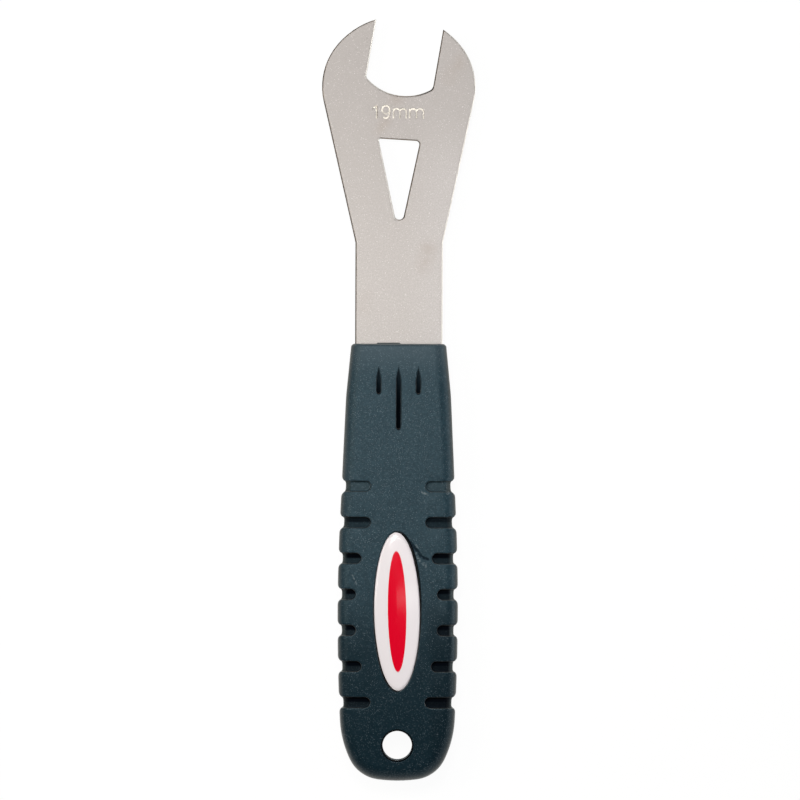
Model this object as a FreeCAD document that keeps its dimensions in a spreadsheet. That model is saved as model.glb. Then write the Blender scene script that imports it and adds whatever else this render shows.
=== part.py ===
import FreeCAD, Part
import math
import os
import Sketcher
from FreeCAD import Placement, Rotation, Vector

# A cone wrench: one blanked steel blade with a tilted open jaw, a rubber grip moulded over
# its tang, and a domed oval badge seated in the grip. Every length is in millimetres and
# every angle in degrees.
#
# The pieces are drawn from the middle of the grip's mouth, where the steel enters the
# rubber: +Y runs along the tool to the jaw, +X to its right, and Z = 0 is the middle of
# the steel's thickness. At the end of the drawing the origin goes under the middle of the
# whole tool, on the surface that it lies on.

SIZES = {
    # jaw
    "jaw_size": 19.0,
    "jaw_clearance": 0.1,
    "jaw_tilt": 9.75,
    "throat_depth": 2.43,
    "throat_radius": 14.65,
    "throat_corner_left": 1.2,
    "throat_corner_right": 2.0,
    # head round the jaw
    "head_reach": 72.4,
    "head_lean": 0.28,
    "brow_radius": 22.55,
    "flank_radius": 18.48,
    "flank_spread": 3.13,
    "shoulder_reach": 28.5,
    # lightening window
    "window_below_head": 14.9,
    "window_above_shoulder": 6.5,
    "window_angle": 12.1,
    "window_slope": 3.5,
    "window_foot_radius": 1.31,
    "window_left_radius": 0.5,
    "window_right_radius": 1.0,
    # steel strip
    "steel_thickness": 2.0,
    "shank_width": 24.6,
    "tang_corner": 3.0,
    "tang_to_hole": 3.0,
    "steel_edge": 0.3,
    # grip from above; the sides' places are counted up from the tail
    "grip_length": 122.97,
    "side_cover": 4.64,
    "widest_from_tail": 47.0,
    "side_radius": 600.0,
    "shoulder_angle": 2.6,
    "bend_place": 19.0,
    "bend_radius": 60.0,
    "mouth_angle": 5.6,
    "flank_start": 17.2,
    "tail_flank_radius": 29.1,
    "tail_corner_radius": 10.2,
    "tail_end_radius": 41.8,
    # rubber above and below the steel, and the grip's rounded edges
    "top_cover": 5.5,
    "sole_cover": 4.5,
    "edge_radius": 3.6,
    "mouth_edge": 0.6,
    # slots round the sides
    "slot_count": 7,
    "last_slot_from_tail": 22.07,
    "slot_pitch": 10.13,
    "slot_width": 3.07,
    "long_slot_end": 7.65,
    "left_slot_gap": 5.5,
    "right_slot_gap": 4.75,
    "slot_flare": 0.7,
    # how deep the slots and the grooves are moulded
    "relief_depth": 1.2,
    # three grooves behind the mouth
    "groove_width": 1.38,
    "groove_spacing": 5.58,
    "groove_start": 6.2,
    "short_groove_end": 14.0,
    "long_groove_end": 24.0,
    "groove_point": 4.0,
    "groove_ramp": 7.0,
    "groove_tip_depth": 0.15,
    # hang hole
    "hang_hole_radius": 4.15,
    "hang_hole_from_tail": 9.95,
    "hang_hole_edge": 0.4,
    # badge
    "badge_length": 44.5,
    "badge_width": 12.9,
    "badge_rim": 0.75,
    "badge_dome": 0.9,
    "badge_from_tail": 47.67,
    "badge_shift": 0.18,
    "badge_lean": 0.4,
    "recess_lean": 0.6,
    "recess_clearance": 0.25,
    "recess_depth": 1.0,
    # flash left by the mould at the mouth
    "flash_width": 6.4,
    "flash_reach": 0.4,
    "flash_height": 0.35,
    "flash_offset": 2.85,
}


class Size:
    """A number together with the formula over the sheet's cells that gives it."""

    def __init__(self, value, formula):
        self.value = value
        self.formula = formula

    def _join(self, sign, other, value):
        text = other.formula if isinstance(other, Size) else repr(other)
        return Size(value, "(%s %s %s)" % (self.formula, sign, text))

    def __add__(self, other):
        return self._join("+", other, self.value + number(other))

    def __sub__(self, other):
        return self._join("-", other, self.value - number(other))

    def __mul__(self, other):
        return self._join("*", other, self.value * number(other))

    def __truediv__(self, other):
        return self._join("/", other, self.value / number(other))

    def __neg__(self):
        return Size(-self.value, "(0 - %s)" % self.formula)


def number(size):
    return size.value if isinstance(size, Size) else size


def root(size):
    return Size(math.sqrt(size.value), "sqrt(%s)" % size.formula)


def larger(first, second):
    return Size(max(first.value, second.value), "max(%s; %s)" % (first.formula, second.formula))


def write_sheet(doc):
    """Put every driving size in a sheet, under its name, and return them as Size values."""
    sheet = doc.addObject("Spreadsheet::Sheet", "sizes")
    named = {}
    for row, (name, value) in enumerate(SIZES.items(), start=1):
        sheet.set("A%d" % row, name)
        sheet.set("B%d" % row, str(value))
        sheet.setAlias("B%d" % row, name)
        named[name] = Size(float(value), "sizes.%s" % name)
    doc.recompute()
    return named


doc = FreeCAD.newDocument("cone_wrench")
size = write_sheet(doc)

ZERO = Size(0.0, "0")
ONE = Size(1.0, "1")
SQUARE = Size(90.0, "90")

half_jaw = (size["jaw_size"] + size["jaw_clearance"]) / 2
half_shank = size["shank_width"] / 2
half_steel = size["steel_thickness"] / 2
half_grip = half_shank + size["side_cover"]
tail = -size["grip_length"]
widest = tail + size["widest_from_tail"]
top = half_steel + size["top_cover"]
sole = -(half_steel + size["sole_cover"])
badge_middle = tail + size["badge_from_tail"]
hang_hole = tail + size["hang_hole_from_tail"]
tang_end = hang_hole + size["hang_hole_radius"] + size["tang_to_hole"]
tall = (top - sole) * 2


def side_at(place):
    """How far out the grip's long side arc is at a place along it."""
    radius, run = size["side_radius"], place - widest
    return half_grip - radius + root(radius * radius - run * run)


# Sketch helpers

def unit(degrees):
    """The direction that lies this many degrees round from +X."""
    return Vector(math.cos(math.radians(degrees)), math.sin(math.radians(degrees)), 0)


def heading(vector):
    return math.atan2(vector.y, vector.x)


def new_body(name):
    return doc.addObject("PartDesign::Body", name)


def new_sketch(body, name, role="XY_Plane", raised=None):
    """A sketch on one of the body's own origin planes, or raised above it."""
    plane = [item for item in body.Origin.OriginFeatures if item.Role == role][0]
    sketch = body.newObject("Sketcher::SketchObject", name)
    sketch.AttachmentSupport = [(plane, "")]
    sketch.MapMode = "FlatFace"
    if raised is not None:
        sketch.setExpression("AttachmentOffset.Base.z", raised.formula)
    return sketch


def line(sketch, start, end):
    return sketch.addGeometry(Part.LineSegment(start, end))


def arc(sketch, centre, radius, start, end):
    """An arc that runs anticlockwise from the point start to the point end."""
    circle = Part.Circle(centre, Vector(0, 0, 1), radius)
    return sketch.addGeometry(Part.ArcOfCircle(circle, heading(start - centre), heading(end - centre)))


def smooth(sketch, first, second):
    """The end of one element runs on into the start of the next with no corner."""
    sketch.addConstraint(Sketcher.Constraint("Tangent", first, 2, second, 1))


def meet(sketch, first, second):
    """The end of one element meets the start of the next at a corner."""
    sketch.addConstraint(Sketcher.Constraint("Coincident", first, 2, second, 1))


def level(sketch, *lines):
    for item in lines:
        sketch.addConstraint(Sketcher.Constraint("Horizontal", item))


def upright(sketch, *lines):
    for item in lines:
        sketch.addConstraint(Sketcher.Constraint("Vertical", item))


def drive(sketch, driving, kind, *where):
    """Add a dimension and bind it to the sheet."""
    value = math.radians(driving.value) if kind == "Angle" else driving.value
    index = sketch.addConstraint(Sketcher.Constraint(kind, *where, value))
    sketch.setExpression("Constraints[%d]" % index, driving.formula)


def place_along(sketch, kind, element, point, distance):
    """Hold a point of an element this far from the sketch's origin, to either side."""
    if distance.value < 0:
        drive(sketch, -distance, kind, element, point, -1, 1)
    else:
        drive(sketch, distance, kind, -1, 1, element, point)


def place_x(sketch, element, point, distance):
    place_along(sketch, "DistanceX", element, point, distance)


def place_y(sketch, element, point, distance):
    place_along(sketch, "DistanceY", element, point, distance)


def on_middle_line(sketch, element, point):
    sketch.addConstraint(Sketcher.Constraint("PointOnObject", element, point, -2))


def settled(sketch):
    """Solve a sketch and stop if its dimensions disagree or leave it loose."""
    left = sketch.solve()
    if left != 0:
        raise RuntimeError("sketch %s does not solve: %s" % (sketch.Label, left))
    doc.recompute()
    if not sketch.FullyConstrained:
        raise RuntimeError("sketch %s is not fully constrained" % sketch.Label)
    return sketch


def pad(body, sketch, name, length, side="Symmetric"):
    """A pad of this length, half to each side of the sketch or all on one."""
    feature = body.newObject("PartDesign::Pad", name)
    feature.Profile = sketch
    feature.SideType = side
    feature.setExpression("Length", length.formula)
    doc.recompute()
    return feature


def pocket_through(body, sketch, name):
    """A pocket right through the body, checked by what it takes away."""
    before = body.Shape.Volume
    feature = body.newObject("PartDesign::Pocket", name)
    feature.Profile = sketch
    feature.Type = "ThroughAll"
    feature.SideType = "Symmetric"
    doc.recompute()
    if not body.Shape.Volume < before:
        raise RuntimeError("%s takes nothing away" % name)
    return feature


def edge_names(shape, wanted):
    """The names of the edges for which wanted(edge) holds."""
    return ["Edge%d" % n for n, edge in enumerate(shape.Edges, start=1) if wanted(edge)]


def break_edges(body, base, names, name, width):
    feature = body.newObject("PartDesign::Chamfer", name)
    feature.Base = (base, names)
    feature.setExpression("Size", width.formula)
    doc.recompute()
    return feature


def round_edges(body, base, names, name, radius):
    feature = body.newObject("PartDesign::Fillet", name)
    feature.Base = (base, names)
    feature.setExpression("Radius", radius.formula)
    doc.recompute()
    return feature


# Steel blade

def blank_outline(body):
    """The blank: a round head on tapering cheeks, a parallel shank and a square tang."""
    sketch = new_sketch(body, "blank_outline")
    lean = -size["head_lean"]
    corner = size["tang_corner"]
    shoulder = size["shoulder_reach"]
    flank = size["flank_radius"]
    brow = size["brow_radius"]
    spread = size["flank_spread"]

    head = Vector(lean.value, size["head_reach"].value, 0)
    across = Vector(spread.value, 0, 0)
    drop = math.sqrt((brow.value - flank.value) ** 2 - spread.value ** 2)
    brow_centre = head - Vector(0, drop, 0)

    def cheek(side):
        """Where the cheek leaves the shank, touches the flank, and the flank joins the brow."""
        foot = Vector(side * half_shank.value, shoulder.value, 0)
        centre = head + across * side
        away = centre - foot
        turn = math.asin(flank.value / away.Length)
        along = unit(math.degrees(heading(away) - side * turn))
        touch = foot + along * (away.Length * math.cos(turn))
        outward = (centre - brow_centre).normalize()
        return foot, centre, touch, brow_centre + outward * brow.value

    right_foot, right_centre, right_touch, right_brow = cheek(1)
    left_foot, left_centre, left_touch, left_brow = cheek(-1)
    half, low, r = half_shank.value, tang_end.value, corner.value
    low_right, high_right = Vector(half - r, low, 0), Vector(half, low + r, 0)
    low_left, high_left = Vector(r - half, low, 0), Vector(-half, low + r, 0)
    end = line(sketch, low_left, low_right)
    right_corner = arc(sketch, low_right + Vector(0, r, 0), r, low_right, high_right)
    right_side = line(sketch, high_right, right_foot)
    right_cheek = line(sketch, right_foot, right_touch)
    right_flank = arc(sketch, right_centre, flank.value, right_touch, right_brow)
    top = arc(sketch, brow_centre, brow.value, right_brow, left_brow)
    left_flank = arc(sketch, left_centre, flank.value, left_brow, left_touch)
    left_cheek = line(sketch, left_touch, left_foot)
    left_side = line(sketch, left_foot, high_left)
    left_corner = arc(sketch, low_left + Vector(0, r, 0), r, high_left, low_left)

    smooth(sketch, end, right_corner)
    smooth(sketch, right_corner, right_side)
    meet(sketch, right_side, right_cheek)
    smooth(sketch, right_cheek, right_flank)
    smooth(sketch, right_flank, top)
    smooth(sketch, top, left_flank)
    smooth(sketch, left_flank, left_cheek)
    meet(sketch, left_cheek, left_side)
    smooth(sketch, left_side, left_corner)
    smooth(sketch, left_corner, end)
    level(sketch, end)
    upright(sketch, right_side, left_side)
    for item in (right_corner, left_corner):
        drive(sketch, corner, "Radius", item)
    for item in (right_flank, left_flank):
        drive(sketch, flank, "Radius", item)
        place_y(sketch, item, 3, size["head_reach"])
    drive(sketch, brow, "Radius", top)
    place_x(sketch, right_flank, 3, lean + spread)
    place_x(sketch, left_flank, 3, lean - spread)
    place_x(sketch, right_side, 2, half_shank)
    place_x(sketch, left_side, 1, -half_shank)
    place_y(sketch, right_side, 2, shoulder)
    place_y(sketch, left_side, 1, shoulder)
    place_y(sketch, end, 1, tang_end)
    return settled(sketch)


def jaw_outline(body):
    """Two parallel flats over a shallow round throat, drawn upright and turned by the tilt."""
    sketch = new_sketch(body, "jaw_outline")
    place = Vector(-size["head_lean"].value, size["head_reach"].value, 0)
    sketch.AttachmentOffset = Placement(place, Rotation(Vector(0, 0, -1), size["jaw_tilt"].value))
    sketch.setExpression("AttachmentOffset.Base.x", (-size["head_lean"]).formula)
    sketch.setExpression("AttachmentOffset.Base.y", size["head_reach"].formula)
    sketch.setExpression("AttachmentOffset.Rotation.Angle", size["jaw_tilt"].formula)

    throat = size["throat_radius"]
    rise = throat - size["throat_depth"]
    past = size["brow_radius"] + rise
    half, reach = half_jaw.value, past.value
    centre = Vector(0, rise.value, 0)

    def corner(side, radius):
        """The centre of a throat corner, and where it touches the throat and the flat."""
        x = half - radius
        drop = math.sqrt((throat.value - radius) ** 2 - x ** 2)
        middle = Vector(side * x, rise.value - drop, 0)
        outward = (middle - centre).normalize()
        return middle, centre + outward * throat.value, middle + Vector(side * radius, 0, 0)

    left, right = size["throat_corner_left"], size["throat_corner_right"]
    right_middle, right_low, right_high = corner(1, right.value)
    left_middle, left_low, left_high = corner(-1, left.value)
    floor = arc(sketch, centre, throat.value, left_low, right_low)
    right_corner = arc(sketch, right_middle, right.value, right_low, right_high)
    right_flat = line(sketch, right_high, Vector(half, reach, 0))
    opening = line(sketch, Vector(half, reach, 0), Vector(-half, reach, 0))
    left_flat = line(sketch, Vector(-half, reach, 0), left_high)
    left_corner = arc(sketch, left_middle, left.value, left_high, left_low)

    smooth(sketch, floor, right_corner)
    smooth(sketch, right_corner, right_flat)
    meet(sketch, right_flat, opening)
    meet(sketch, opening, left_flat)
    smooth(sketch, left_flat, left_corner)
    smooth(sketch, left_corner, floor)
    level(sketch, opening)
    upright(sketch, right_flat, left_flat)
    on_middle_line(sketch, floor, 3)
    place_y(sketch, floor, 3, rise)
    drive(sketch, throat, "Radius", floor)
    drive(sketch, right, "Radius", right_corner)
    drive(sketch, left, "Radius", left_corner)
    place_x(sketch, right_flat, 2, half_jaw)
    place_x(sketch, left_flat, 1, -half_jaw)
    place_y(sketch, opening, 1, past)
    return settled(sketch)


def window_outline(body):
    """A tall triangle with round corners, its sides parallel to the cheeks."""
    sketch = new_sketch(body, "window_outline")
    foot_radius = size["window_foot_radius"]
    foot = size["shoulder_reach"] + size["window_above_shoulder"] + foot_radius
    top_reach = size["head_reach"] - size["window_below_head"]
    lean = size["window_angle"].value
    slope = size["window_slope"].value
    foot_centre = Vector(0, foot.value, 0)
    right_up, left_up = unit(90 - lean), unit(90 + lean)
    right_out, left_out = unit(-lean), unit(180 + lean)
    top_along, top_up = unit(180 - slope), unit(90 - slope)
    top_point = Vector(0, top_reach.value, 0)

    def top_corner(out, radius):
        """The centre of a round corner that touches one side and the top edge."""
        a = out.dot(foot_centre) + foot_radius.value - radius
        b = top_up.dot(top_point) - radius
        cross = out.x * top_up.y - out.y * top_up.x
        return Vector((a * top_up.y - b * out.y) / cross, (out.x * b - top_up.x * a) / cross, 0)

    right, left = size["window_right_radius"], size["window_left_radius"]
    right_centre = top_corner(right_out, right.value)
    left_centre = top_corner(left_out, left.value)
    foot_right = foot_centre + right_out * foot_radius.value
    foot_left = foot_centre + left_out * foot_radius.value
    side_right = right_centre + right_out * right.value
    side_left = left_centre + left_out * left.value
    top_right = right_centre + top_up * right.value
    top_left = left_centre + top_up * left.value
    tip = arc(sketch, foot_centre, foot_radius.value, foot_left, foot_right)
    right_side = line(sketch, foot_right, side_right)
    right_corner = arc(sketch, right_centre, right.value, side_right, top_right)
    top = line(sketch, top_right, top_left)
    left_corner = arc(sketch, left_centre, left.value, top_left, side_left)
    left_side = line(sketch, side_left, foot_left)

    smooth(sketch, tip, right_side)
    smooth(sketch, right_side, right_corner)
    smooth(sketch, right_corner, top)
    smooth(sketch, top, left_corner)
    smooth(sketch, left_corner, left_side)
    smooth(sketch, left_side, tip)
    on_middle_line(sketch, tip, 3)
    place_y(sketch, tip, 3, foot)
    drive(sketch, foot_radius, "Radius", tip)
    drive(sketch, right, "Radius", right_corner)
    drive(sketch, left, "Radius", left_corner)
    middle = sketch.addGeometry(Part.Point(top_point))
    on_middle_line(sketch, middle, 1)
    sketch.addConstraint(Sketcher.Constraint("PointOnObject", middle, 1, top))
    sketch.toggleConstruction(middle)
    place_y(sketch, middle, 1, top_reach)
    drive(sketch, SQUARE - size["window_angle"], "Angle", right_side)
    drive(sketch, size["window_angle"] - SQUARE, "Angle", left_side)
    drive(sketch, SQUARE * 2 - size["window_slope"], "Angle", top)
    return settled(sketch)


def build_blade():
    """Blank the outline, cut the jaw and the window, and break the blanked edges."""
    body = new_body("blade")
    pad(body, blank_outline(body), "blank", size["steel_thickness"])
    pocket_through(body, jaw_outline(body), "jaw")
    cut = pocket_through(body, window_outline(body), "window")

    def outer_edge(edge):
        box = edge.BoundBox
        flat = box.ZLength < 1e-6
        return flat and abs(abs(box.ZMin) - half_steel.value) < 1e-6

    break_edges(body, cut, edge_names(body.Shape, outer_edge), "blanked_edges", size["steel_edge"])
    return body


# Rubber grip

def mirrored(point):
    return Vector(-point.x, point.y, point.z)


def grip_plan(body, inset):
    """The grip from above: straight sides from the mouth, then one long arc to a round tail.

    An inset shrinks the outline evenly, for the floor of what is moulded into the sides.
    """
    sketch = new_sketch(body, body.Label + "_plan", raised=sole + inset)
    side = size["side_radius"] - inset
    bend = size["bend_radius"] - inset
    flank = size["tail_flank_radius"] - inset
    corner = size["tail_corner_radius"] - inset
    end = size["tail_end_radius"] - inset
    side_x = half_grip - size["side_radius"]
    end_y = tail + size["tail_end_radius"]
    join = tail + size["flank_start"]
    shoulder_angle, mouth_angle = size["shoulder_angle"], size["mouth_angle"]

    side_centre = Vector(side_x.value, widest.value, 0)
    drop = widest - join
    fall = math.degrees(math.asin(drop.value / size["side_radius"].value))
    side_join = widest - drop * side / size["side_radius"]
    side_low = side_centre + unit(-fall) * side.value
    flank_centre = side_centre + unit(-fall) * (side.value - flank.value)
    end_centre = Vector(0, end_y.value, 0)
    between = end_centre - flank_centre
    reach, other = flank.value - corner.value, end.value - corner.value
    along = (reach ** 2 - other ** 2 + between.Length ** 2) / (2 * between.Length)
    away = math.sqrt(reach ** 2 - along ** 2)
    forward = Vector(between).normalize()
    corner_centre = flank_centre + forward * along + Vector(forward.y, -forward.x, 0) * away
    flank_low = flank_centre + (corner_centre - flank_centre).normalize() * flank.value
    corner_low = end_centre + (corner_centre - end_centre).normalize() * end.value
    side_high = side_centre + unit(shoulder_angle.value) * side.value
    out, climb = unit(shoulder_angle.value), unit(90 + shoulder_angle.value)
    bend_y = -size["bend_place"].value
    run = (bend_y + bend.value * out.y - side_high.y) / climb.y
    bend_low = side_high + climb * run
    bend_centre = bend_low - out * bend.value
    bend_high = bend_centre + unit(mouth_angle.value) * bend.value
    mouth_climb = unit(90 + mouth_angle.value)
    mouth = bend_high - mouth_climb * (bend_high.y / mouth_climb.y)

    end_arc = arc(sketch, end_centre, end.value, mirrored(corner_low), corner_low)
    right = [
        arc(sketch, corner_centre, corner.value, corner_low, flank_low),
        arc(sketch, flank_centre, flank.value, flank_low, side_low),
        arc(sketch, side_centre, side.value, side_low, side_high),
        line(sketch, side_high, bend_low),
        arc(sketch, bend_centre, bend.value, bend_low, bend_high),
        line(sketch, bend_high, mouth),
    ]
    mouth_line = line(sketch, mouth, mirrored(mouth))
    left = [
        line(sketch, mirrored(mouth), mirrored(bend_high)),
        arc(sketch, mirrored(bend_centre), bend.value, mirrored(bend_high), mirrored(bend_low)),
        line(sketch, mirrored(bend_low), mirrored(side_high)),
        arc(sketch, mirrored(side_centre), side.value, mirrored(side_high), mirrored(side_low)),
        arc(sketch, mirrored(flank_centre), flank.value, mirrored(side_low), mirrored(flank_low)),
        arc(sketch, mirrored(corner_centre), corner.value, mirrored(flank_low), mirrored(corner_low)),
    ]
    for first, second in zip([end_arc] + right, right):
        smooth(sketch, first, second)
    meet(sketch, right[-1], mouth_line)
    meet(sketch, mouth_line, left[0])
    for first, second in zip(left, left[1:] + [end_arc]):
        smooth(sketch, first, second)

    drive(sketch, end, "Radius", end_arc)
    on_middle_line(sketch, end_arc, 3)
    place_y(sketch, end_arc, 3, end_y)
    level(sketch, mouth_line)
    sketch.addConstraint(Sketcher.Constraint("PointOnObject", mouth_line, 1, -1))
    for chain, hand, low_end in ((right, 1, 1), (left[::-1], -1, 2)):
        drive(sketch, corner, "Radius", chain[0])
        drive(sketch, flank, "Radius", chain[1])
        drive(sketch, side, "Radius", chain[2])
        drive(sketch, bend, "Radius", chain[4])
        drive(sketch, side_x * hand, "DistanceX", -1, 1, chain[2], 3)
        drive(sketch, widest, "DistanceY", -1, 1, chain[2], 3)
        drive(sketch, -size["bend_place"], "DistanceY", -1, 1, chain[4], 3)
        drive(sketch, side_join, "DistanceY", -1, 1, chain[2], low_end)
        drive(sketch, (SQUARE + shoulder_angle) * hand, "Angle", chain[3])
        drive(sketch, (SQUARE + mouth_angle) * hand, "Angle", chain[5])
    return settled(sketch)


def grip_block(name, inset=ZERO):
    """The grip's plan at its full height, with nothing rounded yet, shrunk by an inset."""
    body = new_body(name)
    height = top - sole - inset * 2
    block = pad(body, grip_plan(body, inset), name + "_block", height, "One side")
    return body, block


def at_mouth(edge):
    return edge.BoundBox.YMin > -1e-6


def along_outline(edge):
    return edge.BoundBox.ZLength < 1e-6 and not at_mouth(edge)


def build_skin():
    """The grip's outer form: generously rounded all along, a small flat edge at the mouth."""
    body, block = grip_block("grip_skin")
    names = edge_names(body.Shape, along_outline)
    rounded = round_edges(body, block, names, "long_edges", size["edge_radius"])
    break_edges(body, rounded, edge_names(body.Shape, at_mouth), "mouth_edges", size["mouth_edge"])
    return body


def build_relief_floor():
    """The surface that the slots and grooves go down to, evenly below the grip's own.

    Its corners are flats that touch the skin's inner offset at the middle of its rounding.
    """
    inset = size["relief_depth"]
    body, block = grip_block("relief_floor", inset)
    width = (size["edge_radius"] - inset) * (2 - math.sqrt(2))
    break_edges(body, block, edge_names(body.Shape, along_outline), "floor_corners", width)
    return body


def slot_outlines(body):
    """Slots in from both sides, each with a round inner end that keeps clear of the badge."""
    sketch = new_sketch(body, "slot_outlines")
    half_length, half_width = size["badge_length"] / 2, size["badge_width"] / 2
    for n in range(round(SIZES["slot_count"])):
        middle = tail + size["last_slot_from_tail"] + size["slot_pitch"] * n
        share = (middle - badge_middle) / half_length
        badge_side = half_width * root(larger(ZERO, ONE - share * share))
        for hand, gap in ((1, size["right_slot_gap"]), (-1, size["left_slot_gap"])):
            inner = larger(size["long_slot_end"], badge_side + gap) + size["slot_width"] / 2
            add_slot(sketch, hand, middle, inner)
    return settled(sketch)


def add_slot(sketch, hand, middle, inner):
    """A round inner end, two straight sides, and a mouth that flares at the grip's side."""
    radius = size["slot_width"] / 2
    outer = half_grip + size["slot_flare"]
    turn = side_at(middle) - size["slot_flare"]
    spread = radius + (outer - turn)
    high, low = (radius, -radius) if hand > 0 else (-radius, radius)
    wide_high, wide_low = (spread, -spread) if hand > 0 else (-spread, spread)

    def at(x, y):
        return Vector(hand * x.value, (middle + y).value, 0)

    end = arc(sketch, at(inner, ZERO), radius.value, at(inner, high), at(inner, low))
    first = line(sketch, at(inner, low), at(turn, low))
    first_flare = line(sketch, at(turn, low), at(outer, wide_low))
    outside = line(sketch, at(outer, wide_low), at(outer, wide_high))
    last_flare = line(sketch, at(outer, wide_high), at(turn, high))
    last = line(sketch, at(turn, high), at(inner, high))
    smooth(sketch, end, first)
    meet(sketch, first, first_flare)
    meet(sketch, first_flare, outside)
    meet(sketch, outside, last_flare)
    meet(sketch, last_flare, last)
    smooth(sketch, last, end)
    level(sketch, first, last)
    upright(sketch, outside)
    drive(sketch, radius, "Radius", end)
    place_x(sketch, end, 3, inner * hand)
    place_y(sketch, end, 3, middle)
    place_x(sketch, first, 2, turn * hand)
    place_x(sketch, last, 1, turn * hand)
    place_x(sketch, outside, 1, outer * hand)
    place_y(sketch, outside, 1, middle + wide_low)
    place_y(sketch, outside, 2, middle + wide_high)


def groove_outlines(body):
    """Three grooves behind the mouth, pointed towards it and round at the other end."""
    sketch = new_sketch(body, "groove_outlines")
    spacing = size["groove_spacing"]
    places = (
        (-spacing, size["short_groove_end"]),
        (ZERO, size["long_groove_end"]),
        (spacing, size["short_groove_end"]),
    )
    for across, length in places:
        add_groove(sketch, across, length)
    return settled(sketch)


def add_groove(sketch, across, length):
    radius = size["groove_width"] / 2
    tip_y = -size["groove_start"]
    full_y = tip_y - size["groove_point"]
    end_y = radius - length
    x, r = across.value, radius.value
    tip = Vector(x, tip_y.value, 0)
    left_full, right_full = Vector(x - r, full_y.value, 0), Vector(x + r, full_y.value, 0)
    left_end, right_end = Vector(x - r, end_y.value, 0), Vector(x + r, end_y.value, 0)
    left_point = line(sketch, tip, left_full)
    left_side = line(sketch, left_full, left_end)
    end = arc(sketch, Vector(x, end_y.value, 0), r, left_end, right_end)
    right_side = line(sketch, right_end, right_full)
    right_point = line(sketch, right_full, tip)
    meet(sketch, left_point, left_side)
    smooth(sketch, left_side, end)
    smooth(sketch, end, right_side)
    meet(sketch, right_side, right_point)
    meet(sketch, right_point, left_point)
    upright(sketch, left_side, right_side)
    drive(sketch, radius, "Radius", end)
    place_x(sketch, end, 3, across)
    place_y(sketch, end, 3, end_y)
    place_y(sketch, left_point, 2, full_y)
    place_y(sketch, right_side, 2, full_y)
    place_x(sketch, left_point, 1, across)
    place_y(sketch, left_point, 1, tip_y)


def groove_ramp_outline(body):
    """The rubber left under the grooves' first stretch, so that each starts shallow."""
    sketch = new_sketch(body, "groove_ramps", "YZ_Plane")
    start = -size["groove_start"]
    foot = start - size["groove_ramp"]
    tip, deep = size["groove_tip_depth"], size["relief_depth"]
    corners = (
        (start, sole + tip),
        (start, top - tip),
        (foot, top - deep),
        (foot, sole + deep),
    )
    points = [Vector(y.value, z.value, 0) for y, z in corners]
    sides = [line(sketch, a, b) for a, b in zip(points, points[1:] + points[:1])]
    for first, second in zip(sides, sides[1:] + sides[:1]):
        meet(sketch, first, second)
    for side, (y, z) in zip(sides, corners):
        place_x(sketch, side, 1, y)
        place_y(sketch, side, 1, z)
    return settled(sketch)


def hang_hole_outline(body):
    sketch = new_sketch(body, "hang_hole_outline")
    centre = Vector(0, hang_hole.value, 0)
    ring = sketch.addGeometry(Part.Circle(centre, Vector(0, 0, 1), size["hang_hole_radius"].value))
    drive(sketch, size["hang_hole_radius"], "Radius", ring)
    on_middle_line(sketch, ring, 3)
    place_y(sketch, ring, 3, hang_hole)
    return settled(sketch)


def flash_outline(body):
    """A thin strip of rubber that crept out of the mould along the steel."""
    sketch = new_sketch(body, "flash_outline", "XZ_Plane")
    half = size["flash_width"] / 2
    left, right = -(size["flash_offset"] + half), half - size["flash_offset"]
    low, high = half_steel / 2, half_steel + size["flash_height"]
    corners = ((left, low), (right, low), (right, high), (left, high))
    points = [Vector(x.value, z.value, 0) for x, z in corners]
    sides = [line(sketch, a, b) for a, b in zip(points, points[1:] + points[:1])]
    for first, second in zip(sides, sides[1:] + sides[:1]):
        meet(sketch, first, second)
    for side, (x, z) in zip(sides, corners):
        place_x(sketch, side, 1, x)
        place_y(sketch, side, 1, z)
    return settled(sketch)


def cut_away(name, base, *tools):
    """Cut tools out of a base, one after another, and check that each takes something."""
    for n, tool in enumerate(tools, start=1):
        result = doc.addObject("Part::Cut", "%s_%d" % (name, n))
        result.Base, result.Tool = base, tool
        doc.recompute()
        if not result.Shape.Volume < base.Shape.Volume:
            raise RuntimeError("%s does not reach %s" % (tool.Label, base.Label))
        base = result
    return base


def joined(name, *pieces):
    result = doc.addObject("Part::MultiFuse", name)
    result.Shapes = list(pieces)
    doc.recompute()
    return result


def faces_of(shape):
    return Part.makeCompound(shape.Faces)


def broken_where(name, base, first, second, width):
    """Break the edges of a solid along which the surfaces of two others cross."""
    first_skin, second_skin = faces_of(first.Shape), faces_of(second.Shape)
    near = 1e-4
    chosen = []
    for n, edge in enumerate(base.Shape.Edges, start=1):
        span = edge.ParameterRange
        middle = Part.Vertex(edge.valueAt((span[0] + span[1]) / 2))
        if middle.distToShape(first_skin)[0] < near and middle.distToShape(second_skin)[0] < near:
            chosen.append((n, width.value, width.value))
    result = doc.addObject("Part::Chamfer", name)
    result.Base = base
    result.Edges = chosen
    doc.recompute()
    return result


def oval(name, length, width, height):
    """An upright oval block on Z = 0, long along Y."""
    ring = doc.addObject("Part::Ellipse", name + "_ring")
    ring.setExpression("MajorRadius", (length / 2).formula)
    ring.setExpression("MinorRadius", (width / 2).formula)
    ring.Placement.Rotation = Rotation(Vector(0, 0, 1), 90)
    block = doc.addObject("Part::Extrusion", name)
    block.Base = ring
    block.DirMode = "Custom"
    block.Dir = Vector(0, 0, 1)
    block.Solid = True
    block.setExpression("LengthFwd", height.formula)
    doc.recompute()
    return block


def badge_place(lean):
    """Where the badge and its recess go: on the recess floor, a little left and turned."""
    floor = top - size["recess_depth"]
    place = Vector(-size["badge_shift"].value, badge_middle.value, floor.value)
    return Placement(place, Rotation(Vector(0, 0, 1), lean.value))


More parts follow.
